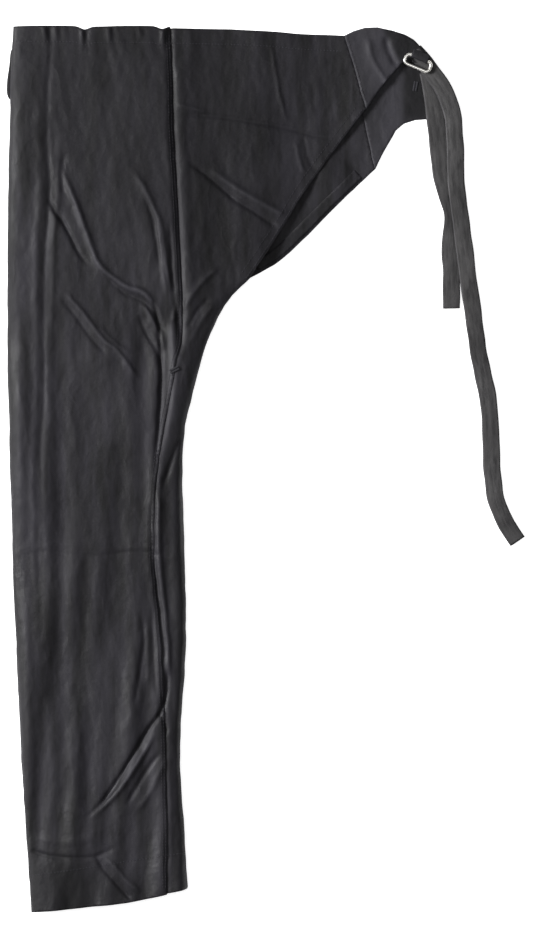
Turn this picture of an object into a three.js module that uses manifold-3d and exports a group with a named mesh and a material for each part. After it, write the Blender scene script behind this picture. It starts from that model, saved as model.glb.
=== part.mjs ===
// Tie-back protective chaps, folded in half at the front and laid flat with the left leg on top.
//
// Millimetres. The garment is drawn with x running from the front fold towards the back of the body,
// y from the hem up to the waist and z up from the table. The right leg lies outer side down on the
// table. The left leg lies on it, inner side down. At the end the whole garment is moved so that its
// origin is the centre of its footprint, on the table.
import * as THREE from "three";
import { mergeVertices } from "three/addons/utils/BufferGeometryUtils.js";
import Module from "manifold-3d";

const wasm = await Module();
wasm.setup();

// ---------------------------------------------------------------- driving sizes
const length = 1000; // waist edge to the lowest point of the hem
const frontWaist = 181; // front fold to the outseam, at the waist
const crotchHeight = 717;
const crotchReach = 270; // front fold to the crotch point
const outseamBow = 195; // front fold to the outseam, at the hip
const hipHeight = 670;
const kneeHeight = 450;
const kneeWidth = 162; // front fold to the outseam, at the knee
const shinHeight = 240;
const shinWidth = 174;
const hemWidth = 176;
const hemSeam = 153; // front edge to the outseam, along the hem
const hemRise = 27; // the hem slants up towards the back
const hemLean = 24; // the front fold leans back towards the hem
const shinLean = 7;
const thighBow = 3; // the front fold bows forwards at the thigh
const thighHeight = 650;
const waistTuck = 3.5;
const backWrap = 20; // the back panel wraps this far onto the outer side of the lower leg

const shell = 0.9; // outer cloth
const facing = 0.6; // turned edges and facings
const liningCloth = 0.5;
const ply = 1.0; // one layer of the cut-resistant pad
const plyCount = 3;
const layerGap = 0.3; // clearance between cloths that touch
const tubeRoom = 5; // the flattened leg opening

const hemTurn = 45;
const waistTurn = 16;
const seatTurn = 12;
const edgeTurn = 3; // the waist facing lies this far inside the edge
const padTop = 85; // pad edge below the waist
const padClear = 8; // pad edge above the hem facing
const padInset = 12;
const plyStep = 3; // each ply is this much smaller all round than the one outside it
const liningInset = 5;

const yokeTop = 24; // below the waist
const yokeTall = 58;
const yokeCloth = 0.8;
const yokeLap = 42; // how far the yoke reaches onto each leg
const yokeProud = 4; // its fold stands this far out of the front edge

const tieWidth = 19;
const tieCloth = 1.2;
const tieLap = 9; // a tie starts this far inside the wing tip's end

const ringWire = 4; // diameter
const ringLong = 34;
const ringShort = 15;
const ringFit = 0.3; // between the ring's bar and the keeper
const keeperCloth = 0.8;
const keeperWide = 20;
const keeperLong = 8;
const tackLong = 12;
const tackWide = 3;
const tackThread = 0.5;

// ---------------------------------------------------------------- levels, from the table up
const plyPitch = ply + layerGap;
const padStack = plyCount * plyPitch;
const rightOuterZ = 0;
const rightPadZ = rightOuterZ + shell + layerGap;
const rightLiningZ = rightPadZ + padStack;
const rightInnerZ = rightLiningZ + liningCloth + tubeRoom;
const rightYokeZ = rightInnerZ + shell + layerGap;
const foldZ = rightYokeZ + yokeCloth + layerGap / 2;
const leftYokeZ = foldZ + layerGap / 2;
const leftInnerZ = leftYokeZ + yokeCloth + layerGap;
const leftLiningZ = leftInnerZ + shell + tubeRoom;
const leftPadZ = leftLiningZ + liningCloth + layerGap;
const leftOuterZ = leftPadZ + padStack;

const rightFacingZ = rightOuterZ + shell + layerGap;
const rightTieZ = rightFacingZ + facing + layerGap;
const leftTieZ = rightTieZ + tieCloth + 4 * layerGap;
const leftWingZ = leftTieZ + tieCloth + layerGap;
const crotchZ = leftInnerZ + shell + 2 * layerGap + facing;

// The left wing drapes from the top of the leg down towards the table: [x, height of its underside].
const towardsCrotch = (share) => outseamBow + (crotchReach - outseamBow) * share;
const drape = [
  [-60, leftOuterZ],
  [towardsCrotch(0.08), leftOuterZ],
  [towardsCrotch(0.35), leftOuterZ - (leftOuterZ - crotchZ) * 0.35],
  [towardsCrotch(0.7), crotchZ + 0.6],
  [crotchReach + 8, crotchZ],
  [crotchReach + 30, crotchZ - (crotchZ - leftWingZ) * 0.5],
  [crotchReach + 62, leftWingZ + 1],
  [crotchReach + 84, leftWingZ],
  [crotchReach + 400, leftWingZ],
];

// ---------------------------------------------------------------- outlines
const curve = (points, steps) =>
  new THREE.SplineCurve(points.map(([x, y]) => new THREE.Vector2(x, y)))
    .getPoints(steps)
    .map((p) => [p.x, p.y]);
const shifted = (points, dx) => points.map(([x, y]) => [x + dx, y]);
const above = (points, y0) => points.filter(([, y]) => y > y0);
const below = (points, y0) => points.filter(([, y]) => y < y0);

// x of a line that runs up the garment, at height y
function xAt(line, y) {
  const i = line.findIndex(([, yi], k) => k > 0 && yi >= y);
  if (i < 0) return line[line.length - 1][0];
  const [[x0, y0], [x1, y1]] = [line[i - 1], line[i]];
  return x0 + ((x1 - x0) * (y - y0)) / (y1 - y0 || 1);
}
// the stretch of such a line between two heights, with its ends added
const between = (line, low, high) => [
  [xAt(line, low), low],
  ...below(above(line, low + 1), high - 1),
  [xAt(line, high), high],
];

const frontEdge = curve(
  [
    [hemLean, 0],
    [shinLean, shinHeight + 45],
    [-thighBow, thighHeight],
    [0, length - 80],
    [waistTuck, length],
  ],
  24,
);
const hemLine = curve(
  [
    [hemLean, 0],
    [hemLean + hemWidth * 0.62, hemRise * 0.42],
    [hemLean + hemWidth, hemRise],
  ],
  12,
);
const heightOnHem = (x) => xAt(hemLine.map(([hx, hy]) => [hy, hx]), x);
const outseam = curve(
  [
    [hemLean + hemSeam, heightOnHem(hemLean + hemSeam)],
    [shinWidth, shinHeight],
    [kneeWidth, kneeHeight],
    [outseamBow - 10, hipHeight - 60],
    [outseamBow, hipHeight],
    [frontWaist + 3, length - 110],
    [frontWaist, length],
  ],
  28,
);
// the leg's back edge, from the hem up to the crotch point
const legBack = curve(
  [
    [hemLean + hemWidth, hemRise],
    [shinWidth + backWrap - 3, shinHeight - 60],
    [kneeWidth + backWrap + 16, kneeHeight - 130],
    [kneeWidth + backWrap + 12, kneeHeight + 60],
    [towardsCrotch(0.13), hipHeight - 85],
    [towardsCrotch(0.55), hipHeight + 8],
    [crotchReach, crotchHeight],
  ],
  28,
);

// A wing runs back from the outseam: a hip piece, and a tip that is sewn on and carries the tie.
// Its points are [distance from the front fold, drop below the waist].
const fromWaist = (points) => points.map(([x, drop]) => [x, length - drop]);
const wingLines = {
  left: {
    top: fromWaist([[frontWaist, 2], [250, 3], [320, 7], [377, 9]]),
    tipSeam: fromWaist([[377, 9], [402, 92]]),
    tipTop: fromWaist([
      [377, 9],
      [394, 2],
      [415, 0],
      [440, 6],
      [456, 14],
      [470, 29],
      [476, 39],
    ]),
    tipEnd: fromWaist([[476, 39], [443, 40]]),
    tipSeat: fromWaist([[443, 40], [423, 63], [402, 92]]),
    seat: [
      ...fromWaist([[402, 92], [372, 131], [338, 177]]),
      [306, crotchHeight + 54],
      [crotchReach, crotchHeight],
    ],
  },
  right: {
    top: fromWaist([[frontWaist, 2], [250, 8], [330, 18], [384, 26]]),
    tipSeam: fromWaist([[384, 26], [412, 160]]),
    tipTop: fromWaist([[384, 26], [410, 26], [440, 32], [471, 46]]),
    tipEnd: fromWaist([[471, 46], [472, 103]]),
    tipSeat: fromWaist([[472, 103], [454, 105], [440, 112], [430, 126], [412, 160]]),
    seat: [
      ...fromWaist([[412, 160], [376, 194]]),
      [328, crotchHeight + 40],
      [301, crotchHeight + 17],
      [crotchReach, crotchHeight],
    ],
  },
};
for (const w of Object.values(wingLines)) {
  w.tipTop = curve(w.tipTop, 9);
  w.tipSeat = curve(w.tipSeat, 5);
  w.seat = curve(w.seat, 9);
}

// ---------------------------------------------------------------- solids
const shapeOf = (points) => new THREE.Shape(points.map(([x, y]) => new THREE.Vector2(x, y)));

function slab(points, z, thick) {
  const g = new THREE.ExtrudeGeometry(shapeOf(points), { depth: thick, bevelEnabled: false });
  return g.translate(0, 0, z);
}

function solidOf(geometry) {
  const bare = geometry.index ? geometry.toNonIndexed() : geometry.clone();
  bare.deleteAttribute("normal");
  bare.deleteAttribute("uv");
  const merged = mergeVertices(bare, 1e-4);
  return new wasm.Manifold(
    new wasm.Mesh({
      numProp: 3,
      vertProperties: merged.attributes.position.array,
      triVerts: new Uint32Array(merged.index.array),
    }),
  );
}

function geometryOf(solid) {
  const m = solid.getMesh();
  return new THREE.BufferGeometry()
    .setAttribute("position", new THREE.BufferAttribute(new Float32Array(m.vertProperties), 3))
    .setIndex(new THREE.BufferAttribute(new Uint32Array(m.triVerts), 1));
}

// A cloth of an outline whose underside follows the drape, moved up by lift.
function drapedSlab(points, lift, thick) {
  const under = drape.map(([x, z]) => [x, z + lift]);
  const over = under.map(([x, z]) => [x, z + thick]).reverse();
  const deep = length + 200;
  const section = shapeOf([...under, ...over]);
  const profile = new THREE.ExtrudeGeometry(section, { depth: deep, bevelEnabled: false });
  profile.rotateX(Math.PI / 2).translate(0, length + 100, 0);
  const tall = leftOuterZ + 60;
  return geometryOf(solidOf(slab(points, -20, tall)).intersect(solidOf(profile)));
}

// The unit normal on the left of an edge.
function normalOf(ax, ay, bx, by) {
  const l = Math.hypot(bx - ax, by - ay) || 1;
  return [-(by - ay) / l, (bx - ax) / l];
}

// An outline drawn in by a margin, by moving each corner along the mean of its two edge normals.
function inset(points, by) {
  const n = points.length;
  return points.map(([x, y], i) => {
    const [px, py] = points[(i + n - 1) % n];
    const [qx, qy] = points[(i + 1) % n];
    const before = normalOf(px, py, x, y);
    const after = normalOf(x, y, qx, qy);
    const sum = [before[0] + after[0], before[1] + after[1]];
    const scale = by / Math.max(0.5, (sum[0] ** 2 + sum[1] ** 2) / 2);
    return [x + sum[0] * scale, y + sum[1] * scale];
  });
}

// A strip that lies along one side of a line. side is 1 for the left of its direction, -1 for the right.
function strip(line, wide, side) {
  const edge = line.map(([x, y], i) => {
    const [ax, ay] = line[Math.max(0, i - 1)];
    const [bx, by] = line[Math.min(line.length - 1, i + 1)];
    const [nx, ny] = normalOf(ax, ay, bx, by);
    return [x + side * wide * nx, y + side * wide * ny];
  });
  return side > 0 ? [...line, ...edge.reverse()] : [...edge, ...[...line].reverse()];
}

// A flat tape of a width along a level route.
function tape(route, z) {
  const right = strip(route, tieWidth / 2, -1).slice(0, route.length);
  const left = strip(route, tieWidth / 2, 1).slice(route.length);
  return slab([...right, ...left], z, tieCloth);
}

// ---------------------------------------------------------------- finishes and nodes
const cloth = (color, roughness) => new THREE.MeshStandardMaterial({ color, roughness, metalness: 0 });
const finish = {
  outerCloth: cloth(0x343338, 0.85),
  innerCloth: cloth(0x2e2d32, 0.9),
  liningCloth: cloth(0x26262a, 0.8),
  pad: cloth(0xcfc39a, 0.95),
  tie: cloth(0x38373b, 0.85),
  thread: cloth(0x1c1c1f, 0.7),
  steel: new THREE.MeshStandardMaterial({ color: 0xd8d8d4, roughness: 0.25, metalness: 1 }),
};
const garment = new THREE.Group();
function node(name, geometry, material) {
  const mesh = new THREE.Mesh(geometry, material);
  mesh.name = name;
  garment.add(mesh);
  return mesh;
}

// ---------------------------------------------------------------- the two legs
// Panels that meet edge to edge keep the layer gap apart.
const seamLine = shifted(outseam, layerGap);
const onHem = (low, high) => hemLine.filter(([x]) => x > low && x < high);
const frontOutline = [
  ...onHem(hemLean - 1, outseam[0][0] - 1),
  ...outseam,
  ...[...frontEdge].reverse().slice(0, -1),
];
const frontRise = curve(
  [
    [crotchReach, crotchHeight],
    [200, crotchHeight + 26],
    [120, crotchHeight + 92],
    [62, length - 104],
    [34, length - yokeTop],
  ],
  12,
);
const innerOutline = [
  ...hemLine,
  ...legBack.slice(1),
  ...frontRise.slice(1),
  ...[...between(frontEdge, 0, length - yokeTop)].reverse().slice(0, -1),
];

function backOutline(w) {
  const seam = between(seamLine, seamLine[0][1], length - 2).reverse();
  const hem = [...onHem(seamLine[0][0] + 1, legBack[0][0] - 1), ...legBack];
  return [...seam, ...hem, ...[...w.seat].reverse().slice(1), ...[...w.top].reverse().slice(0, -1)];
}
function tipOutline(w) {
  const [top, bottom] = w.tipSeam;
  const open = ([x, y]) => [x + layerGap, y];
  const lower = [...w.tipSeat].reverse().slice(1);
  const upper = [...w.tipTop].reverse().slice(1, -1);
  return [open(bottom), ...lower, w.tipEnd[0], ...upper, open(top)];
}

const padOutline = (k) => {
  const low = hemRise + hemTurn + padClear + k * plyStep;
  const high = length - padTop - k * plyStep;
  const side = padInset + k * plyStep;
  return [
    ...shifted(between(outseam, low, high), -side),
    ...shifted(between(frontEdge, low, high), side).reverse(),
  ];
};
const liningLow = hemTurn + hemRise + 4;
const liningHigh = length - waistTurn - 4;
const liningOutline = [
  ...shifted(between(outseam, liningLow, liningHigh), -liningInset),
  ...shifted(between(frontEdge, liningLow, liningHigh), liningInset).reverse(),
];
const hemFacing = inset(
  [
    ...hemLine,
    [xAt(legBack, hemRise + hemTurn / 2), hemRise + hemTurn / 2],
    [xAt(legBack, hemRise + hemTurn), hemRise + hemTurn],
    [xAt(frontEdge, hemTurn), hemTurn],
    [xAt(frontEdge, hemTurn / 2), hemTurn / 2],
  ],
  2,
);
// The waist facing follows the top edge from the front fold to the wing's tip seam.
function waistLine(w) {
  const [endX, endY] = w.top[w.top.length - 1];
  const along = w.top.slice(0, -1).map(([x, y]) => [x, y - edgeTurn]);
  return [[waistTuck + edgeTurn, length - edgeTurn], ...along, [endX - 4, endY - edgeTurn]];
}
const seatLine = (w) => w.seat.slice(1, -1).map(([x, y]) => [x - 2, y + 2]);

function yoke(z) {
  const high = length - yokeTop;
  const low = high - yokeTall;
  const outline = [
    [-yokeProud, low + 4],
    [0, low],
    [yokeLap, low],
    [yokeLap, high - 14],
    [yokeLap - 12, high],
    [0, high],
    [-yokeProud, high - 4],
  ];
  return slab(outline, z, yokeCloth);
}

// The height of each flat cloth's underside, by leg. The pad plies are numbered from the outer panel inwards.
const level = {
  left: { outer: leftOuterZ, inner: leftInnerZ, lining: leftLiningZ, yoke: leftYokeZ },
  right: { outer: rightOuterZ, inner: rightInnerZ, lining: rightLiningZ, yoke: rightYokeZ },
};
const plyZ = {
  left: (k) => leftPadZ + (plyCount - 1 - k) * plyPitch,
  right: (k) => rightPadZ + k * plyPitch,
};
// The left facings hang under the draped wing; the right ones lie on the flat wing.
const facingSlab = {
  left: (points) => drapedSlab(points, -(facing + layerGap), facing),
  right: (points) => slab(points, rightFacingZ, facing),
};
const wingSlab = {
  left: (points) => drapedSlab(points, 0, shell),
  right: (points) => slab(points, rightOuterZ, shell),
};

for (const side of ["left", "right"]) {
  const z = level[side];
  const w = wingLines[side];
  node(`${side}_front_panel`, slab(frontOutline, z.outer, shell), finish.outerCloth);
  node(`${side}_back_panel`, wingSlab[side](backOutline(w)), finish.outerCloth);
  node(`${side}_wing_tip`, wingSlab[side](tipOutline(w)), finish.outerCloth);
  node(`${side}_inner_panel`, slab(innerOutline, z.inner, shell), finish.innerCloth);
  node(`${side}_lining`, slab(liningOutline, z.lining, liningCloth), finish.liningCloth);
  for (let k = 0; k < plyCount; k++)
    node(`${side}_pad_ply_${k + 1}`, slab(padOutline(k), plyZ[side](k), ply), finish.pad);
  node(`${side}_hem_facing`, facingSlab[side](hemFacing), finish.innerCloth);
  node(`${side}_waist_facing`, facingSlab[side](strip(waistLine(w), waistTurn, -1)), finish.innerCloth);
  node(`${side}_seat_facing`, facingSlab[side](strip(seatLine(w), seatTurn, -1)), finish.innerCloth);
  node(`${side}_front_yoke`, yoke(z.yoke), finish.outerCloth);
}

// ---------------------------------------------------------------- ties
// Routes are [across, down] from where each tie is sewn on, at the wing tip's outer end.
const tieRoot = {
  left: [466 - tieLap, length - 26],
  right: [481 - tieLap, length - 50],
};
const routes = {
  left: [[0, 0], [12, 14], [26, 32], [39, 52], [46, 76], [48, 106], [48, 150], [52, 190], [58, 236], [63, 272],
    [66, 296], [71, 330], [77, 364], [83, 392], [86, 420], [87, 455], [89, 490], [94, 514], [104, 536], [117, 556]],
  right: [[0, 0], [4, 22], [8, 52], [11, 86], [17, 132], [22, 163], [25, 189], [26, 223], [27, 268]],
};
for (const side of ["left", "right"]) {
  const [x, y] = tieRoot[side];
  const route = curve(routes[side].map(([dx, dy]) => [x + dx, y - dy]), side === "left" ? 40 : 20);
  node(`${side}_tie`, tape(route, side === "left" ? leftTieZ : rightTieZ), finish.tie);
}

// ---------------------------------------------------------------- ring and keeper, on the left wing tip
// The ring's bars run along the tip's end. u is along a bar, v points from the keeper out over the end.
const ringTurn = THREE.MathUtils.degToRad(-22);
const barZ = leftWingZ + shell + layerGap + keeperCloth + ringFit + ringWire / 2;
const barCentre = new THREE.Vector3(462.5, length - 35.5, barZ);
const ringGroup = new THREE.Group();
ringGroup.position.copy(barCentre);
ringGroup.rotation.z = ringTurn;
garment.add(ringGroup);

// A closed round wire along a rectangle with round corners, its keeper bar centred on the origin.
function wireLoop(long, short, wire) {
  const hx = (long - wire) / 2;
  const deep = short - wire;
  const corner = wire;
  const path = new THREE.Shape();
  path.moveTo(-hx + corner, 0);
  path.lineTo(hx - corner, 0);
  path.absarc(hx - corner, -corner, corner, Math.PI / 2, 0, true);
  path.lineTo(hx, -deep + corner);
  path.absarc(hx - corner, -deep + corner, corner, 0, -Math.PI / 2, true);
  path.lineTo(-hx + corner, -deep);
  path.absarc(-hx + corner, -deep + corner, corner, -Math.PI / 2, -Math.PI, true);
  path.lineTo(-hx, -corner);
  path.absarc(-hx + corner, -corner, corner, Math.PI, Math.PI / 2, true);
  const centres = path.getPoints(3).slice(0, -1);
  const sides = 12;
  const at = [];
  const faces = [];
  centres.forEach((c, i) => {
    const p = centres[(i + centres.length - 1) % centres.length];
    const q = centres[(i + 1) % centres.length];
    const out = new THREE.Vector2(q.y - p.y, p.x - q.x).normalize().multiplyScalar(wire / 2);
    for (let k = 0; k < sides; k++) {
      const a = (2 * Math.PI * k) / sides;
      at.push(c.x + out.x * Math.cos(a), c.y + out.y * Math.cos(a), (Math.sin(a) * wire) / 2);
    }
    const next = ((i + 1) % centres.length) * sides;
    for (let k = 0; k < sides; k++) {
      const a = i * sides + k;
      const b = i * sides + ((k + 1) % sides);
      const ahead = next + k;
      const aheadOfB = next + ((k + 1) % sides);
      faces.push(a, ahead, b, b, ahead, aheadOfB);
    }
  });
  const g = new THREE.BufferGeometry().setIndex(faces);
  return g.setAttribute("position", new THREE.BufferAttribute(new Float32Array(at), 3));
}

// The keeper is a folded strip: its section is a hairpin round the bar.
function keeperFold() {
  const inner = ringWire / 2 + ringFit;
  const outer = inner + keeperCloth;
  const section = new THREE.Shape();
  section.moveTo(keeperLong, -outer);
  section.lineTo(keeperLong, -inner);
  section.lineTo(0, -inner);
  section.absarc(0, 0, inner, -Math.PI / 2, Math.PI / 2, true);
  section.lineTo(keeperLong, inner);
  section.lineTo(keeperLong, outer);
  section.lineTo(0, outer);
  section.absarc(0, 0, outer, Math.PI / 2, -Math.PI / 2, false);
  const g = new THREE.ExtrudeGeometry(section, { depth: keeperWide, bevelEnabled: false, curveSegments: 8 });
  g.translate(0, 0, -keeperWide / 2);
  // section x becomes y, section y becomes z, and the depth runs along the bar
  const turned = new THREE.Matrix4().makeBasis(
    new THREE.Vector3(0, 1, 0),
    new THREE.Vector3(0, 0, 1),
    new THREE.Vector3(1, 0, 0),
  );
  return g.applyMatrix4(turned);
}

function addTo(group, name, geometry, material) {
  const mesh = new THREE.Mesh(geometry, material);
  mesh.name = name;
  group.add(mesh);
}
addTo(ringGroup, "tie_ring", wireLoop(ringLong, ringShort, ringWire), finish.steel);
addTo(ringGroup, "ring_keeper", keeperFold(), finish.tie);

// ---------------------------------------------------------------- bar tacks
function tack(name, x, y, z, turn) {
  const g = new THREE.BoxGeometry(tackLong, tackWide, tackThread);
  const mesh = node(name, g, finish.thread);
  mesh.position.set(x, y, z + tackThread / 2);
  mesh.rotation.z = turn;
}
const crotchTackHeight = hipHeight - 58;
const onCloth = shell + layerGap;
tack("left_crotch_tack", xAt(outseam, crotchTackHeight), crotchTackHeight, leftOuterZ + onCloth, 0.5);
tack("right_tie_tack", tieRoot.right[0] - 14, tieRoot.right[1] - 16, rightOuterZ + onCloth, 1.4);

// ---------------------------------------------------------------- origin: centre of the footprint, on the table
garment.updateMatrixWorld(true);
const footprint = new THREE.Box3().setFromObject(garment, true);
const centre = footprint.getCenter(new THREE.Vector3());
garment.position.set(-centre.x, -centre.y, -footprint.min.z);
garment.updateMatrixWorld(true);

export default garment;
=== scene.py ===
import bpy
import bmesh
import math
import numpy as np
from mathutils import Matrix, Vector
from mathutils.geometry import delaunay_2d_cdt


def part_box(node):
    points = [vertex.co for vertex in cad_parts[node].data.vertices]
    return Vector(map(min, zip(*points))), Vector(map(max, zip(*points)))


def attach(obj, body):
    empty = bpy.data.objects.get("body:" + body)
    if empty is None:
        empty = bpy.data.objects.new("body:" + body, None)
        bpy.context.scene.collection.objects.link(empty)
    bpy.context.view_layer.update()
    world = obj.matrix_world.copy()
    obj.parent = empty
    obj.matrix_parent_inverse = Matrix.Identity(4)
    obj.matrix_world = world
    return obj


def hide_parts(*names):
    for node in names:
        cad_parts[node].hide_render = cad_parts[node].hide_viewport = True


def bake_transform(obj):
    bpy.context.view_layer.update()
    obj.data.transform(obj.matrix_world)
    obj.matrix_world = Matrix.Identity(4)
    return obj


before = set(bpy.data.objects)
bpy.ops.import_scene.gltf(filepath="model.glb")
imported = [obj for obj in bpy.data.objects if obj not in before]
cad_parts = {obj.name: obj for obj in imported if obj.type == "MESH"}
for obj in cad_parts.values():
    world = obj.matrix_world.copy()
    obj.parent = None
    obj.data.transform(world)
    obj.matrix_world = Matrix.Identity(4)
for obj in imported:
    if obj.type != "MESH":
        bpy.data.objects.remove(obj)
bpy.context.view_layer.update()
print("frame loaded:", len(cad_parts), "nodes")

# Everything below is drawn in millimetres of the garment: x from the front fold towards the back,
# y from the hem up to the waist, z up from the table. place() turns that into the frame's metres.
mm = 0.001
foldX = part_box("left_front_yoke")[0].x + 4 * mm
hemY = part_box("left_front_panel")[0].y


def place(x, y, z):
    return np.stack([foldX + np.asarray(x) * mm, hemY + np.asarray(y) * mm, np.asarray(z) * mm], -1)


def topOf(node):
    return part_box(node)[1].z / mm


# ---- camera, straight above, long lens

cameraSet = {"height": 4.0, "viewTall": 1.049, "aim": (0.010, 0.0075)}
cameraData = bpy.data.cameras.new("overheadCamera")
cameraData.sensor_width = 36
cameraData.lens = 36 * cameraSet["height"] / cameraSet["viewTall"]
camera = bpy.data.objects.new("overheadCamera", cameraData)
camera.location = (cameraSet["aim"][0], cameraSet["aim"][1], cameraSet["height"])
bpy.context.scene.collection.objects.link(camera)
bpy.context.scene.camera = camera

# ---- outlines, read from the frame's own pieces


def outlineOf(node):
    # the outline of a piece's upper side, in garment millimetres
    mesh = bmesh.new()
    mesh.from_mesh(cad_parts[node].data)
    bmesh.ops.remove_doubles(mesh, verts=mesh.verts, dist=0.02 * mm)
    upper = {f for f in mesh.faces if f.normal.z > 0.3}
    step = {}
    for face in upper:
        for loop in face.loops:
            if sum(f in upper for f in loop.edge.link_faces) == 1:
                step[loop.vert.index] = loop.link_loop_next.vert.index
    spots = {v.index: ((v.co.x - foldX) / mm, (v.co.y - hemY) / mm) for v in mesh.verts}
    mesh.free()
    first = next(iter(step))
    ring, here = [first], step[first]
    while here != first:
        ring.append(here)
        here = step[here]
    points = [spots[i] for i in ring]
    kept = []
    for i, p in enumerate(points):
        a, b = points[i - 1], points[(i + 1) % len(points)]
        bend = (p[0] - a[0]) * (b[1] - p[1]) - (p[1] - a[1]) * (b[0] - p[0])
        if abs(bend) > 0.02 * math.dist(a, b):
            kept.append(p)
    return np.array(kept)


def crossings(outline, ys, pick):
    # the lowest or highest x where the outline crosses each height
    a, b = outline, np.roll(outline, -1, 0)
    found = []
    for y in ys:
        low, high = np.minimum(a[:, 1], b[:, 1]), np.maximum(a[:, 1], b[:, 1])
        hit = (low <= y) & (high >= y) & (high > low)
        share = (y - a[hit, 1]) / (b[hit, 1] - a[hit, 1])
        xs = a[hit, 0] + share * (b[hit, 0] - a[hit, 0])
        found.append(pick(xs) if len(xs) else np.nan)
    return np.array(found)


outlines = {name: outlineOf(name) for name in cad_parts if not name.endswith(("ring", "keeper"))}
legYs = np.linspace(30, 712, 140)
frontYs = np.linspace(2, 998, 200)
frontXs = crossings(outlines["left_front_panel"], frontYs, min)
outseamYs = np.linspace(24, 998, 200)
outseamXs = crossings(outlines["left_front_panel"], outseamYs, max)
backXs = crossings(outlines["left_inner_panel"], legYs, max)


def frontEdgeX(y):
    return np.interp(y, frontYs, frontXs)


def seamX(y):
    return np.interp(y, outseamYs, outseamXs)


def backEdgeX(y):
    return np.interp(y, legYs, backXs)


# ---- shape helpers


def smooth(low, high, value):
    t = np.clip((np.asarray(value, float) - low) / (high - low), 0, 1)
    return t * t * (3 - 2 * t)


waveCount = 26


def waves(x, y, seed, size, stretch=1.0):
    # a smooth random surface, about -1 to 1; stretch draws it out along the leg
    rng = np.random.default_rng(seed)
    total = np.zeros_like(np.asarray(x, float))
    for _ in range(waveCount):
        angle, phase = rng.uniform(0, 2 * math.pi, 2)
        k = 2 * math.pi / (size * rng.uniform(0.6, 1.9))
        total += np.cos(k * (x * math.cos(angle) + y / stretch * math.sin(angle)) + phase)
    return total / math.sqrt(waveCount)


def softLine(path, count=28):
    # a Catmull-Rom line through given points
    p = np.array(path, float)
    p = np.vstack([2 * p[0] - p[1], p, 2 * p[-1] - p[-2]])
    out = []
    for i in range(1, len(p) - 2):
        for t in np.linspace(0, 1, max(2, count // (len(p) - 3)), endpoint=False):
            out.append(0.5 * (2 * p[i] + (p[i + 1] - p[i - 1]) * t
                              + (2 * p[i - 1] - 5 * p[i] + 4 * p[i + 1] - p[i + 2]) * t * t
                              + (3 * p[i] - p[i - 1] - 3 * p[i + 1] + p[i + 2]) * t ** 3))
    out.append(p[-2])
    return np.array(out)


def nearLine(x, y, line):
    # distance, side (left of the line is positive) and share of the way along
    best = np.full(x.shape, 1e9)
    side = np.zeros(x.shape)
    along = np.zeros(x.shape)
    lengths = np.linalg.norm(np.diff(line, axis=0), axis=1)
    run = np.concatenate([[0], np.cumsum(lengths)])
    for i, (a, b) in enumerate(zip(line[:-1], line[1:])):
        d = b - a
        t = np.clip(((x - a[0]) * d[0] + (y - a[1]) * d[1]) / (d @ d), 0, 1)
        away = np.hypot(x - a[0] - t * d[0], y - a[1] - t * d[1])
        closer = away < best
        best = np.where(closer, away, best)
        side = np.where(closer, np.sign(d[0] * (y - a[1]) - d[1] * (x - a[0])), side)
        along = np.where(closer, (run[i] + t * lengths[i]) / run[-1], along)
    return best, side, along


def crease(x, y, path, rise, wide, lean=1.0, ends=(0.2, 0.2)):
    # a ridge along a path, or a valley where rise is negative; a lean under 1 makes its left side steeper
    line = softLine(path)
    reach = wide * 4 * max(1, lean)
    near = (x > line[:, 0].min() - reach) & (x < line[:, 0].max() + reach)
    near &= (y > line[:, 1].min() - reach) & (y < line[:, 1].max() + reach)
    out = np.zeros_like(x)
    if not near.any():
        return out
    away, side, along = nearLine(x[near], y[near], line)
    spread = np.where(side > 0, wide * lean, wide)
    body = 1 / (1 + (away / spread) ** 2) ** 2
    fade = smooth(0, ends[0], along) * smooth(0, ends[1], 1 - along)
    out[near] = rise * fade * body
    return out


# ---- the creases of the upper leg and wing, in garment millimetres

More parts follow.
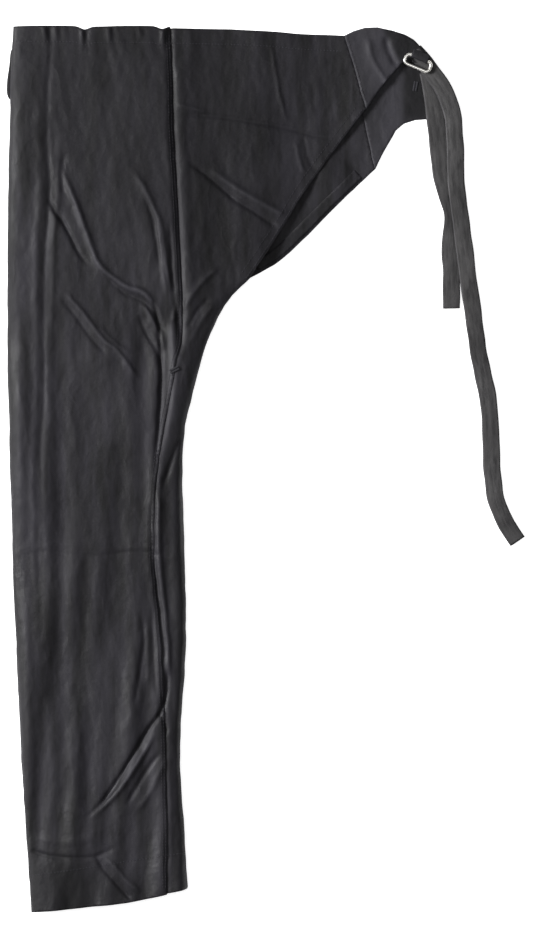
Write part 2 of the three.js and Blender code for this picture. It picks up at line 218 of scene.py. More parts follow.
upperCreases = [
    # from the front down towards the hip
    dict(path=[(54, 850), (66, 818), (79, 788), (92, 752), (103, 728), (128, 708), (154, 697), (176, 662)],
         rise=3.4, wide=4.6, lean=0.8),
    dict(path=[(40, 812), (49, 794), (62, 775), (79, 743), (92, 726)],
         rise=-3.6, wide=2.4, ends=(0.25, 0.3)),
    dict(path=[(62, 858), (58, 834), (60, 806)], rise=-1.2, wide=3.4),
    dict(path=[(104, 722), (128, 700), (150, 690), (168, 668)], rise=-1.6, wide=3.2),
    dict(path=[(56, 706), (70, 690), (83, 675), (105, 646), (122, 632), (150, 596)],
         rise=2.3, wide=3.8, lean=0.8),
    dict(path=[(56, 694), (72, 676), (92, 648), (112, 626)], rise=-1.6, wide=3.0),
    dict(path=[(98, 664), (112, 648), (136, 628)], rise=1.0, wide=3.0),
    # down the outseam over the hip
    dict(path=[(134, 842), (151, 818), (163, 792), (171, 771), (178, 722), (184, 690)], rise=2.6, wide=4.2),
    dict(path=[(150, 812), (160, 788), (166, 758), (172, 722)], rise=-2.0, wide=3.0),
    dict(path=[(166, 782), (170, 752), (173, 722), (178, 694)], rise=2.4, wide=2.6),
    dict(path=[(180, 790), (182, 750), (184, 712), (190, 672), (192, 640)],
         rise=-2.6, wide=3.2, ends=(0.3, 0.2)),
    dict(path=[(150, 690), (158, 672), (170, 650), (174, 632)], rise=2.0, wide=3.0),
    dict(path=[(144, 676), (152, 656), (166, 632), (170, 610)], rise=-2.2, wide=2.8),
    dict(path=[(160, 694), (166, 676), (176, 650)], rise=-1.6, wide=2.2),
    dict(path=[(186, 706), (188, 684), (184, 664)], rise=1.6, wide=2.6),
    dict(path=[(184, 680), (185, 640), (184, 600), (180, 550), (170, 490)],
         rise=3.4, wide=7.6, ends=(0.15, 0.3)),
    dict(path=[(158, 700), (166, 672), (170, 640), (170, 590), (167, 540), (162, 480)],
         rise=-3.8, wide=2.8, ends=(0.2, 0.3)),
    dict(path=[(201, 572), (197, 552), (188, 524), (178, 496), (170, 466)],
         rise=-2.2, wide=3.2, ends=(0.2, 0.3)),
    dict(path=[(196, 676), (204, 694), (219, 714), (238, 730)], rise=1.9, wide=4.0),
    dict(path=[(200, 656), (210, 676), (226, 696)], rise=-1.5, wide=3.4),
    dict(path=[(204, 640), (217, 668), (232, 690)], rise=1.4, wide=3.6),
    # down the back of the leg
    dict(path=[(160, 470), (159, 430), (164, 380), (172, 320), (176, 270)],
         rise=-2.2, wide=3.0, ends=(0.1, 0.1)),
    dict(path=[(168, 480), (167, 430), (172, 370), (177, 310), (180, 250)],
         rise=2.2, wide=3.2, ends=(0.1, 0.15)),
    dict(path=[(148, 344), (150, 310), (146, 268), (140, 226)], rise=-1.7, wide=3.6),
    dict(path=[(160, 350), (161, 306), (164, 262), (168, 236)], rise=-1.5, wide=3.0),
    dict(path=[(154, 332), (155, 290), (156, 252)], rise=1.3, wide=3.4),
    # shin
    dict(path=[(175, 284), (177, 254), (170, 226), (156, 206), (140, 180), (122, 150), (104, 124), (80, 102)],
         rise=-4.0, wide=2.6, ends=(0.12, 0.25)),
    dict(path=[(164, 204), (154, 186), (140, 162), (124, 140), (104, 118), (88, 104)],
         rise=3.0, wide=3.4, ends=(0.15, 0.3)),
    dict(path=[(172, 184), (160, 168), (146, 146), (130, 118)], rise=-2.2, wide=3.4),
    dict(path=[(178, 180), (168, 156), (156, 132), (142, 112)], rise=1.8, wide=4.4),
    dict(path=[(166, 226), (174, 214), (177, 200)], rise=-1.6, wide=2.4),
    dict(path=[(96, 66), (106, 50), (120, 34), (138, 14)], rise=-2.2, wide=2.6, ends=(0.1, 0.1)),
    dict(path=[(106, 64), (118, 52), (134, 34), (150, 22)], rise=1.8, wide=4.0),
    dict(path=[(24, 70), (50, 63), (88, 62), (108, 68), (126, 78)], rise=-1.7, wide=2.8, ends=(0.02, 0.3)),
    dict(path=[(30, 84), (64, 80), (100, 84)], rise=0.7, wide=6.0, ends=(0.1, 0.3)),
    # storage fold across the knee
    dict(path=[(4, 402), (40, 407), (90, 402), (140, 407), (176, 404)],
         rise=-0.65, wide=2.6, ends=(0.3, 0.1)),
    dict(path=[(6, 412), (60, 415), (120, 411), (170, 414)], rise=0.5, wide=4.0, ends=(0.2, 0.1)),
    # long folds behind the front edge
    dict(path=[(34, 985), (32, 900), (34, 830), (29, 720), (30, 600), (26, 500), (29, 350), (36, 200)],
         rise=1.7, wide=6.4, ends=(0.3, 0.3)),
    dict(path=[(47, 985), (42, 900), (44, 820), (38, 700), (39, 600), (35, 520), (38, 400)],
         rise=-1.5, wide=3.8, ends=(0.3, 0.3)),
    dict(path=[(46, 1000), (43, 930), (45, 880)], rise=-1.0, wide=4.0, ends=(0.02, 0.5)),
    dict(path=[(56, 880), (54, 820), (50, 760), (48, 700), (46, 620)], rise=1.2, wide=4.2, ends=(0.2, 0.3)),
    # wing
    dict(path=[(294, 986), (300, 950), (306, 916), (313, 888)], rise=1.4, wide=2.6),
    dict(path=[(186, 899), (222, 899), (257, 895), (313, 886), (347, 877), (376, 877)],
         rise=-1.7, wide=3.0),
    dict(path=[(186, 912), (208, 906), (226, 902)], rise=1.3, wide=3.0),
    dict(path=[(200, 847), (206, 843), (224, 830), (253, 805), (278, 790), (304, 772)],
         rise=-2.6, wide=3.4, ends=(0.12, 0.1)),
    dict(path=[(222, 842), (250, 820), (282, 802), (312, 786)], rise=2.4, wide=5.2, ends=(0.25, 0.1)),
    dict(path=[(322, 873), (329, 843), (336, 832)], rise=1.3, wide=2.8),
    dict(path=[(330, 880), (337, 850), (345, 836)], rise=-1.0, wide=2.8),
    dict(path=[(404, 990), (408, 968), (420, 946), (432, 930)], rise=1.8, wide=4.0),
    dict(path=[(424, 992), (428, 972), (438, 954)], rise=-2.2, wide=4.4),
]
# where the waist is gathered: x, how far down the pleat runs, and its rise
waistGathers = [(38, 26, 1.2), (51, 24, 1.0), (80, 30, 1.8), (111, 28, 1.3), (172, 34, 1.8), (146, 18, 0.7)]


def creasesAt(x, y):
    total = np.zeros_like(x)
    for c in upperCreases:
        total += crease(x, y, **c)
    for gx, tall, rise in waistGathers:
        pleat = [(gx, 1000), (gx + 1, 1000 - tall / 2), (gx - 1, 1000 - tall)]
        groove = [(gx + 6, 1000), (gx + 6, 1000 - tall * 0.8)]
        total += crease(x, y, pleat, rise, 3.0, ends=(0.02, 0.7))
        total -= crease(x, y, groove, rise * 0.8, 3.0, ends=(0.02, 0.7))
    return total


# ---- heights of the layers

upperSet = {
    "round": 15.0,  # how far in from a leg's edge the padding rounds over
    "droop": 5.0,  # the waist, past the pad, lies lower
    "singleDrop": 2.4,
    "cloth": 0.9,
}
drapeXs = np.arange(-60, 700, 2.0)


def readDrape():
    # the wing's fall from the leg towards the table, softened
    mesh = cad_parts["left_back_panel"].data
    upper = {}
    for face in mesh.polygons:
        if face.normal.z > 0.3:
            for i in face.vertices:
                co = mesh.vertices[i].co
                upper[round((co.x - foldX) / mm, 1)] = co.z / mm
    xs = sorted(upper)
    line = np.interp(drapeXs, xs, [upper[x] for x in xs])
    bell = np.exp(-(np.arange(-30, 31) * 2 / 14.0) ** 2)
    padded = np.concatenate([np.full(30, line[0]), line, np.full(30, line[-1])])
    return np.convolve(padded, bell / bell.sum(), "valid")


drapeZs = readDrape()
innerTop = topOf("left_inner_panel")
shellTop = topOf("left_front_panel")
closedEdge = innerTop + 0.3 + upperSet["cloth"]


def roundOver(distance, reach):
    t = np.clip(1 - distance / reach, 0, 1)
    return np.sqrt(1 - t * t * 0.999)


def upperHeight(x, y):
    # the left leg's outer surface
    z = np.interp(x, drapeXs, drapeZs)
    z = z - upperSet["droop"] * smooth(900, 1000, y) * (1 - smooth(240, 330, x))
    z = z + creasesAt(x, y)
    onLeg = 1 - smooth(seamX(y) + 10, seamX(y) + 60, x)
    z = z + 0.9 * waves(x, y, 3, 130, 2.0) + 1.7 * onLeg * (1 - smooth(620, 700, y)) * waves(x, y, 5, 34, 6.0)
    z = z - 0.7 * np.abs(waves(x, y, 7, 70, 2.2)) + 0.16 * waves(x, y, 9, 14, 2.5)
    seam = np.abs(x - seamX(y))
    hip = smooth(610, 660, y) * (1 - smooth(930, 985, y))
    plain = 1 - 0.85 * smooth(470, 520, y) * (1 - smooth(660, 700, y))
    z = z + plain * (0.4 * np.exp(-((seam - 5) / 3.5) ** 2) - 0.3 * np.exp(-(seam / 1.8) ** 2))
    z = z - 1.3 * hip * np.exp(-((x - seamX(y) + 1) / 4.0) ** 2)
    z = z + 1.2 * hip * np.exp(-((x - seamX(y) - 10) / 5.0) ** 2)
    # just behind the seam the cloth is a single layer, and lies lower than it does over the pad
    single = smooth(-9, 2, x - seamX(y)) * (1 - smooth(26, 70, x - seamX(y))) * smooth(690, 750, y)
    z = z - upperSet["singleDrop"] * single
    z = z - 0.7 * single * np.maximum(0, z - shellTop)
    front = roundOver(x - frontEdgeX(y), upperSet["round"])
    z = closedEdge + (z - closedEdge) * front
    back = roundOver(backEdgeX(y) - x, upperSet["round"])
    back = back + (1 - back) * smooth(700, 722, y)
    z = np.where(z > closedEdge, closedEdge + (z - closedEdge) * back, z)
    return z


seamSet = {"lap": 5.0, "step": 1.0}


def lapped(height, sign):
    # a back cloth's height: at the outseam it passes under (sign 1) or over (-1) the front cloth
    return lambda x, y: height(x, y) - sign * seamSet["step"] * (1 - smooth(0.4, 4.5, x - seamX(y)))


def withLap(outline):
    onSeam = np.abs(outline[:, 0] - seamX(outline[:, 1])) < 1.0
    return np.stack([outline[:, 0] - seamSet["lap"] * onSeam, outline[:, 1]], 1)


def lowerHeight(x, y):
    # the upper side of the right leg's outer cloth, which lies on the table
    free = smooth(230, 330, x) * (1 - smooth(400, 440, x))
    lift = 1.2 * (1 + waves(x, y, 21, 90)) * free
    return 0.9 + np.maximum(0, lift) + 0.12 * (1 + np.clip(waves(x, y, 23, 22), -1, 1))


def rightInnerHeight(x, y):
    edge = 2.4
    z = topOf("right_inner_panel") + 0.35 * waves(x, y, 25, 60)
    front = roundOver(x - frontEdgeX(y), upperSet["round"])
    back = roundOver(backEdgeX(y) - x, upperSet["round"])
    return edge + (z - edge) * front * back


def leftInnerHeight(x, y):
    return np.full_like(x, innerTop)


def warp(x, y):
    # cut edges and folds are never quite straight, and the waist dips where it is gathered
    top = smooth(930, 1000, y)
    dips = 3.6 * np.exp(-((x - 84) / 6.5) ** 2) + 3.2 * np.exp(-((x - 172) / 6.0) ** 2)
    wanderX = 0.55 * waves(x, y, 31, 90) + 0.2 * waves(x, y, 33, 24)
    return x + wanderX, y + 0.4 * waves(x, y, 35, 80) - top * dips


# ---- sheets


def meshInside(outline, spacing):
    # triangles inside an outline: its own edge, evenly divided, and a staggered grid
    ring = []
    for a, b in zip(outline, np.roll(outline, -1, 0)):
        n = max(1, round(float(np.linalg.norm(b - a)) / spacing))
        ring += [a + (b - a) * k / n for k in range(n)]
    ring = np.array(ring)
    low, high = ring.min(0), ring.max(0)
    rowStep = spacing * 0.866
    rows = np.arange(low[1], high[1], rowStep)
    grid = []
    for i, y in enumerate(rows):
        xs = np.arange(low[0] + (i % 2) * spacing / 2, high[0], spacing)
        grid.append(np.stack([xs, np.full(len(xs), y)], 1))
    grid = np.concatenate(grid)
    a, b = ring, np.roll(ring, -1, 0)
    keep = []
    for start in range(0, len(grid), 4000):
        p = grid[start:start + 4000, None, :]
        below = (a[None, :, 1] <= p[..., 1]) != (b[None, :, 1] <= p[..., 1])
        with np.errstate(divide="ignore", invalid="ignore"):
            xHit = a[:, 0] + (p[..., 1] - a[:, 1]) / (b[:, 1] - a[:, 1]) * (b[:, 0] - a[:, 0])
        odd = (below & (xHit > p[..., 0])).sum(1) % 2 == 1
        d = b - a
        t = np.clip(((p - a) * d).sum(-1) / (d * d).sum(-1), 0, 1)
        away = np.linalg.norm(p - a - t[..., None] * d, axis=-1).min(1)
        keep.append(odd & (away > 0.55 * spacing))
    grid = grid[np.concatenate(keep)]
    points = np.concatenate([ring, grid])
    n = len(ring)
    made = delaunay_2d_cdt([Vector(p) for p in points], [(i, (i + 1) % n) for i in range(n)], [], 1, 1e-6)
    return np.array([tuple(v) for v in made[0]]), np.array([tuple(f) for f in made[2]])


def rimDistance(points, outline):
    a, b = outline, np.roll(outline, -1, 0)
    d = b - a
    out = []
    for start in range(0, len(points), 4000):
        p = points[start:start + 4000, None, :]
        t = np.clip(((p - a) * d).sum(-1) / (d * d).sum(-1), 0, 1)
        out.append(np.linalg.norm(p - a - t[..., None] * d, axis=-1).min(1))
    return np.concatenate(out)


def addObject(name, coords, faces, material):
    mesh = bpy.data.meshes.new(name)
    mesh.from_pydata([tuple(c) for c in coords], [], [tuple(f) for f in faces])
    mesh.validate()
    mesh.polygons.foreach_set("use_smooth", [True] * len(mesh.polygons))
    mesh.materials.append(material)
    obj = bpy.data.objects.new(name, mesh)
    bpy.context.scene.collection.objects.link(obj)
    return obj


def slabFaces(rows, columns):
    # the faces of a closed slab whose points are two grids, one for each side, and the band that joins them
    count = rows * columns
    faces = []
    for i in range(rows - 1):
        for j in range(columns - 1):
            a, b = i * columns + j, i * columns + j + 1
            c, d = b + columns, a + columns
            faces += [(a, b, c, d), (d + count, c + count, b + count, a + count)]
    border = [i * columns for i in range(rows)] + [(rows - 1) * columns + j for j in range(1, columns)]
    border += [i * columns + columns - 1 for i in range(rows - 2, -1, -1)] + list(range(columns - 2, 0, -1))
    faces += [(b, b + count, a + count, a) for a, b in zip(border, border[1:] + border[:1])]
    return faces


def outwards(obj):
    mesh = bmesh.new()
    mesh.from_mesh(obj.data)
    bmesh.ops.recalc_face_normals(mesh, faces=mesh.faces)
    mesh.to_mesh(obj.data)
    mesh.free()


def shadeAndDarkeningAt(x, y):
    # how much the colour darkens: painted shade at the wing ends and on the back strip behind the outseam; also
    # darker towards the top, at the hem and along the front fold
    line = 421 + 0.5 * np.clip(996 - y, 0, 44)
    # painted shade where the wing ends fold away from the light
    wingEnd = 0.8 * smooth(-3, 6, x - line) * smooth(880, 905, y)
    top = 0.42 * smooth(690, 880, y + 0.5 * (x - 100)) * (1 - smooth(240, 330, x))
    hem = 0.62 * (1 - smooth(52, 96, y + 0.25 * x)) * (1 - 0.5 * smooth(90, 150, x))
    fold = 0.5 * (1 - smooth(4, 14, x - frontEdgeX(y)))
    # painted shade on the back strip behind the outseam, which faces away from the light
    back = 0.3 * smooth(2, 16, x - seamX(y)) * (1 - smooth(520, 580, y))
    return np.maximum.reduce([wingEnd, top, hem, fold, back])


def layThick(name, points, tris, top, thick, material, rim, crest=None):
    # a closed cloth: upper side, lower side and a rounded rim between them
    x, y = warp(points[:, 0], points[:, 1])
    n = len(points)
    openEdges = {}
    for f in tris:
        for i in range(3):
            key = (f[i], f[(i + 1) % 3])
            if openEdges.pop(key[::-1], None) is None:
                openEdges[key] = True
    nextOn = dict(openEdges.keys())
    ring = list(nextOn)
    spotOf = {v: k for k, v in enumerate(ring)}
    before = {b: a for a, b in nextOn.items()}
    outX, outY = [], []
    for v in ring:
        a, b = before[v], nextOn[v]
        dx, dy = x[b] - x[a], y[b] - y[a]
        size = math.hypot(dx, dy) or 1
        outX.append(x[v] + dy / size * thick * 0.3)
        outY.append(y[v] - dx / size * thick * 0.3)
    ringIds = np.array(ring)
    mid = place(np.array(outX), np.array(outY), top[ringIds] - thick / 2)
    coords = np.concatenate([place(x, y, top), place(x, y, top - thick), mid])
    faces = [tuple(f) for f in tris] + [(f[2] + n, f[1] + n, f[0] + n) for f in tris]
    for v in ring:
        w = nextOn[v]
        mv, mw = 2 * n + spotOf[v], 2 * n + spotOf[w]
        faces.append((w, v, mv, mw))
        faces.append((mw, mv, v + n, w + n))
    obj = addObject(name, coords, faces, material)
    # painted shade and the other darkening, kept per point for the material
    dull = shadeAndDarkeningAt(points[:, 0], points[:, 1])
    values = {
        "rim": np.concatenate([rim, rim, np.zeros(len(ring))]),
        "dull": np.concatenate([dull, dull, dull[ringIds]]),
    }
    if crest is not None:
        values["crest"] = np.concatenate([crest, np.zeros(n + len(ring))])
    for key, data in values.items():
        attribute = obj.data.attributes.new(key, "FLOAT", "POINT")
        attribute.data.foreach_set("value", data.astype(np.float32))
    return obj


def smallestBox(outline, area):
    # the smallest rectangle the flat cut fits in, at any angle; an L-shaped cut is given a narrower one
    best = None
    for angle in np.linspace(0, math.pi / 2, 91):
        turned = outline @ np.array([[math.cos(angle), -math.sin(angle)], [math.sin(angle), math.cos(angle)]])
        size = turned.max(0) - turned.min(0)
        if best is None or size.prod() < best.prod():
            best = size
    size = sorted(float(v) * mm for v in best)
    return [min(size[0], area / size[1] / 0.305), size[1]]


def polygonArea(outline):
    a, b = outline, np.roll(outline, -1, 0)
    return abs((a[:, 0] * b[:, 1] - b[:, 0] * a[:, 1]).sum()) / 2


def sewnPanel(name, node, body, height, spacing, material, lap=False):
    # a cloth piece with a CAD piece's outline and thickness, lying at height(x, y)
    outline = withLap(outlines[node]) if lap else outlines[node]
    points, tris = meshInside(outline, spacing)
    top = height(points[:, 0], points[:, 1])
    thick = clothThickness(node)
    # crease heights, read by the material for the painted highlight on their crests
    crest = creasesAt(points[:, 0], points[:, 1]) if node.startswith("left") else None
    obj = layThick(name, points, tris, top, thick, material, rimDistance(points, outline), crest)
    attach(obj, body)
    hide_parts(node)
    area = polygonArea(outline) * mm * mm
    flat = smallestBox(outline, area)
    print(name, "flat", round(flat[0], 3), round(flat[1], 3), "area", round(area, 4))
    return obj


def layPad(name, node, body, height):
    # a felt layer: a closed sheet with a rounded rim, like the cloths
    outline = outlines[node]
    points, tris = meshInside(outline, leg["hidden"])
    rim = rimDistance(points, outline)
    top = height(points[:, 0], points[:, 1])
    obj = layThick(name, points, tris, top, clothThickness(node), padFelt, rim)
    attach(obj, body)
    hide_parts(node)
    return obj


def clothThickness(node):
    if node in ("left_back_panel", "left_wing_tip"):
        return upperSet["cloth"]
    if "facing" in node:
        return 0.35 if node == "right_seat_facing" else 0.6
    low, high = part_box(node)
    return (high.z - low.z) / mm


# ---- materials


def newGroup(name, inputs, outputs, kind="ShaderNodeTree"):
    group = bpy.data.node_groups.new(name, kind)
    for label, kind, value in inputs:
        socket = group.interface.new_socket(label, in_out="INPUT", socket_type=kind)
        if value is not None:
            socket.default_value = value
    for label, kind in outputs:
        group.interface.new_socket(label, in_out="OUTPUT", socket_type=kind)
    return group, group.nodes.new("NodeGroupInput"), group.nodes.new("NodeGroupOutput")


def mathNode(tree, operation, a, b=None, c=None):
    node = tree.nodes.new("ShaderNodeMath")
    node.operation = operation
    for i, value in enumerate((a, b, c)):
        if value is None:
            continue
        if isinstance(value, (int, float)):
            node.inputs[i].default_value = value
        else:
            tree.links.new(value, node.inputs[i])
    return node.outputs[0]


def noiseNode(tree, vector, scale, detail=3.0, rough=0.5, squeeze=(1, 1, 1)):
    mapping = tree.nodes.new("ShaderNodeMapping")
    mapping.inputs["Scale"].default_value = squeeze
    tree.links.new(vector, mapping.inputs["Vector"])
    node = tree.nodes.new("ShaderNodeTexNoise")
    tree.links.new(mapping.outputs["Vector"], node.inputs["Vector"])
    if isinstance(scale, (int, float)):
        node.inputs["Scale"].default_value = scale
    else:
        tree.links.new(scale, node.inputs["Scale"])
    node.inputs["Detail"].default_value = detail
    node.inputs["Roughness"].default_value = rough
    return node.outputs["Fac"]


def rangeNode(tree, value, low, high, toLow, toHigh):
    node = tree.nodes.new("ShaderNodeMapRange")
    node.interpolation_type = "SMOOTHSTEP"
    tree.links.new(value, node.inputs["Value"])
    for label, number in (("From Min", low), ("From Max", high), ("To Min", toLow), ("To Max", toHigh)):
        node.inputs[label].default_value = number
    return node.outputs["Result"]


def makeWeaveGroup():
    # a plain weave: each thread rises over one neighbour and dips under the next
    group, inside, outside = newGroup(
        "clothWeave",
        [("Vector", "NodeSocketVector", None), ("Threads per metre", "NodeSocketFloat", 900.0)],
        [("Height", "NodeSocketFloat"), ("Thread", "NodeSocketFloat")],
    )
    split = group.nodes.new("ShaderNodeSeparateXYZ")
    group.links.new(inside.outputs["Vector"], split.inputs[0])
    u = mathNode(group, "MULTIPLY", split.outputs["X"], inside.outputs["Threads per metre"])
    v = mathNode(group, "MULTIPLY", split.outputs["Y"], inside.outputs["Threads per metre"])
    warpRise = mathNode(group, "ABSOLUTE", mathNode(group, "SINE", mathNode(group, "MULTIPLY", u, math.pi)))
    weftRise = mathNode(group, "ABSOLUTE", mathNode(group, "SINE", mathNode(group, "MULTIPLY", v, math.pi)))
    cells = mathNode(group, "ADD", mathNode(group, "FLOOR", u), mathNode(group, "FLOOR", v))
    over = mathNode(group, "PINGPONG", cells, 1.0)
    under = mathNode(group, "SUBTRACT", 1.0, over)
    warpTop = mathNode(group, "MULTIPLY", warpRise, over)
    weftTop = mathNode(group, "MULTIPLY", weftRise, under)
    group.links.new(mathNode(group, "ADD", warpTop, weftTop), outside.inputs["Height"])
    group.links.new(over, outside.inputs["Thread"])
    return group


def makeMottleGroup():
    # uneven handling and fading: broad patches, streaks along the leg and a fine grain
    group, inside, outside = newGroup(
        "clothMottle",
        [("Vector", "NodeSocketVector", None), ("Patches", "NodeSocketFloat", 9.0),
         ("Streaks", "NodeSocketFloat", 60.0)],
        [("Patch", "NodeSocketFloat"), ("Streak", "NodeSocketFloat"), ("Grain", "NodeSocketFloat")],
    )
    vector = inside.outputs["Vector"]
    patch = noiseNode(group, vector, inside.outputs["Patches"], 5.0, 0.6)
    streak = noiseNode(group, vector, inside.outputs["Streaks"], 4.0, 0.6, (1, 0.14, 1))
    grain = noiseNode(group, vector, 700.0, 3.0, 0.7)
    group.links.new(rangeNode(group, patch, 0.32, 0.68, 0, 1), outside.inputs["Patch"])
    group.links.new(rangeNode(group, streak, 0.3, 0.7, 0, 1), outside.inputs["Streak"])
    group.links.new(grain, outside.inputs["Grain"])
    return group


def makeRumpleGroup():
    # small soft rumples that are too fine to model
    group, inside, outside = newGroup(
        "clothRumple",
        [("Vector", "NodeSocketVector", None), ("Scale", "NodeSocketFloat", 45.0)],
        [("Height", "NodeSocketFloat")],
    )
    vector = inside.outputs["Vector"]
    broad = noiseNode(group, vector, inside.outputs["Scale"], 3.0, 0.55, (1, 0.55, 1))
    ridge = mathNode(group, "ABSOLUTE", mathNode(group, "SUBTRACT", broad, 0.5))
    fine = noiseNode(group, vector, mathNode(group, "MULTIPLY", inside.outputs["Scale"], 3.7), 2.0, 0.5)
    folds = mathNode(group, "MULTIPLY", ridge, -1.6)
    total = mathNode(group, "ADD", folds, mathNode(group, "MULTIPLY", fine, 0.35))
    group.links.new(total, outside.inputs["Height"])
    return group


weaveGroup = makeWeaveGroup()
mottleGroup = makeMottleGroup()
rumpleGroup = makeRumpleGroup()


def groupNode(tree, group, vector, **values):
    node = tree.nodes.new("ShaderNodeGroup")
    node.node_tree = group
    tree.links.new(vector, node.inputs["Vector"])
    for label, value in values.items():
        node.inputs[label.replace("_", " ")].default_value = value
    return node


def mixColour(tree, share, a, b, blendType="MIX"):
    node = tree.nodes.new("ShaderNodeMix")
    node.data_type = "RGBA"
    node.blend_type = blendType
    for socket, value in ((node.inputs[0], share), (node.inputs[6], a), (node.inputs[7], b)):
        if isinstance(value, (int, float)):
            socket.default_value = value
        elif isinstance(value, tuple):
            socket.default_value = (*value, 1)
        else:
            tree.links.new(value, socket)
    return node.outputs[2]


def attributeNode(tree, name):
    node = tree.nodes.new("ShaderNodeAttribute")
    node.attribute_name = name
    return node.outputs["Fac"]


def bumpNode(tree, height, strength, distance):
    node = tree.nodes.new("ShaderNodeBump")
    node.inputs["Strength"].default_value = strength
    node.inputs["Distance"].default_value = distance
    tree.links.new(height, node.inputs["Height"])
    return node


def clothMaterial(name, s):
    material = bpy.data.materials.new(name)
    material.use_nodes = True
    tree = material.node_tree
    shader = tree.nodes["Principled BSDF"]
    coords = tree.nodes.new("ShaderNodeTexCoord")
    vector = coords.outputs["UV" if s.get("uv") else "Object"]
    weave = groupNode(tree, weaveGroup, vector, Threads_per_metre=s["threads"])
    mottle = groupNode(tree, mottleGroup, vector, Patches=s["patches"], Streaks=s["streaks"])
    rumple = groupNode(tree, rumpleGroup, vector, Scale=s["rumple"])
    colour = mixColour(tree, mottle.outputs["Patch"], s["dark"], s["light"])
    streaky = mathNode(tree, "MULTIPLY", mottle.outputs["Streak"], s["streakShare"])
    colour = mixColour(tree, streaky, colour, s["faded"])
    threads = mathNode(tree, "MULTIPLY_ADD", weave.outputs["Thread"], 0.22, 0.0)
    colour = mixColour(tree, threads, colour, s["dark"])
    wearAndHighlight = rangeNode(tree, attributeNode(tree, "rim"), 0.0, s["wearWide"], 1, 0)
    wearAndHighlight = mathNode(tree, "MULTIPLY", wearAndHighlight, mathNode(tree, "MULTIPLY", mottle.outputs["Grain"], s["wear"]))
    # painted highlight: the crests of the creases are lightened towards the wear colour
    paintedRidgeHighlight = rangeNode(tree, attributeNode(tree, "crest"), 0.5, 3.0, 0, s["ridgeHighlight"])
    wearAndHighlight = mathNode(tree, "ADD", wearAndHighlight, paintedRidgeHighlight)
    # edge wear and painted ridge highlight together
    colour = mixColour(tree, wearAndHighlight, colour, s["wearAndHighlight"])
    # darken towards near-black: painted shade, plus the darkening at the top, hem and front fold
    colour = mixColour(tree, attributeNode(tree, "dull"), colour, s["dull"])
    tree.links.new(colour, shader.inputs["Base Color"])
    rough = rangeNode(tree, mottle.outputs["Patch"], 0, 1, s["rough"][0], s["rough"][1])
    rough = mathNode(tree, "MULTIPLY_ADD", mottle.outputs["Streak"], -0.10, rough)
    tree.links.new(rough, shader.inputs["Roughness"])
    shader.inputs["Specular IOR Level"].default_value = s["specular"]
    shader.inputs["Sheen Weight"].default_value = s["sheen"]
    shader.inputs["Sheen Roughness"].default_value = 0.45
    shader.inputs["Sheen Tint"].default_value = (*s["sheenTint"], 1)
    rumpleBump = bumpNode(tree, rumple.outputs["Height"], 1.0, s["rumpleDepth"])
    weaveBump = bumpNode(tree, weave.outputs["Height"], s["weaveStrength"], 0.00015)
    tree.links.new(rumpleBump.outputs["Normal"], weaveBump.inputs["Normal"])
    tree.links.new(weaveBump.outputs["Normal"], shader.inputs["Normal"])
    return material


shellCloth = {
    "dark": (0.0050, 0.0048, 0.0050), "light": (0.0128, 0.0121, 0.0142), "faded": (0.0250, 0.0236, 0.0295),
    # this line: the lighter colour of edge wear and of painted ridge highlight, then the near-black of painted
    # shade and of the darkening at the top, hem and front fold
    "wearAndHighlight": (0.052, 0.050, 0.059), "dull": (0.0030, 0.0029, 0.0030), "streakShare": 0.7,
    "threads": 900.0, "patches": 9.0, "streaks": 60.0,
    "rumple": 26.0, "rumpleDepth": 0.0016, "weaveStrength": 0.35, "wear": 0.3, "wearWide": 2.4, "ridgeHighlight": 0.3,
    "rough": (0.52, 0.66), "specular": 0.14, "sheen": 0.02, "sheenTint": (0.8, 0.8, 1.0),
}
outerCloth = clothMaterial("outerCloth", shellCloth)
# the wing tips: a lighter copy of the shell cloth, with the sheen of panels cut on another grain painted into
# their colour
tipSheenCloth = clothMaterial("tipSheenCloth", {
    **shellCloth, "dark": (0.0135, 0.0130, 0.0150), "light": (0.0230, 0.0220, 0.0260),
    "faded": (0.034, 0.0325, 0.039)})
innerCloth = clothMaterial("innerCloth", {
    **shellCloth, "light": (0.0125, 0.0120, 0.0134), "wear": 0.0, "ridgeHighlight": 0.0})
liningCloth = clothMaterial("liningCloth", {
    **shellCloth, "threads": 1500.0, "rough": (0.35, 0.5), "specular": 0.5})
padFelt = clothMaterial("padFelt", {
    **shellCloth, "dark": (0.42, 0.36, 0.20), "light": (0.60, 0.54, 0.36), "faded": (0.66, 0.60, 0.42),
    "wearAndHighlight": (0.75, 0.70, 0.52), "threads": 330.0, "weaveStrength": 1.0, "rough": (0.85, 0.98), "specular": 0.1,
    "sheen": 0.3, "sheenTint": (1.0, 0.95, 0.8)})
tieCloth = clothMaterial("tieCloth", {
    **shellCloth, "uv": True, "dark": (0.017, 0.0165, 0.0172), "light": (0.036, 0.035, 0.0355),
    "faded": (0.064, 0.062, 0.063), "threads": 1100.0, "patches": 30.0, "streaks": 240.0, "rumple": 90.0,
    "rumpleDepth": 0.0005})
print("materials made")

# ---- lay the cloths

leg = {"spacing": 2.3, "inner": 5.0, "hidden": 7.0}


mapSet = {"step": 2.5, "low": (-12, -8), "count": (206, 410)}


def mapOf(height):
    # a surface's heights on a grid, so that the layers next to it can follow it quickly
    xs = mapSet["low"][0] + mapSet["step"] * np.arange(mapSet["count"][0])
    ys = mapSet["low"][1] + mapSet["step"] * np.arange(mapSet["count"][1])
    return height(*np.meshgrid(xs, ys, indexing="ij"))


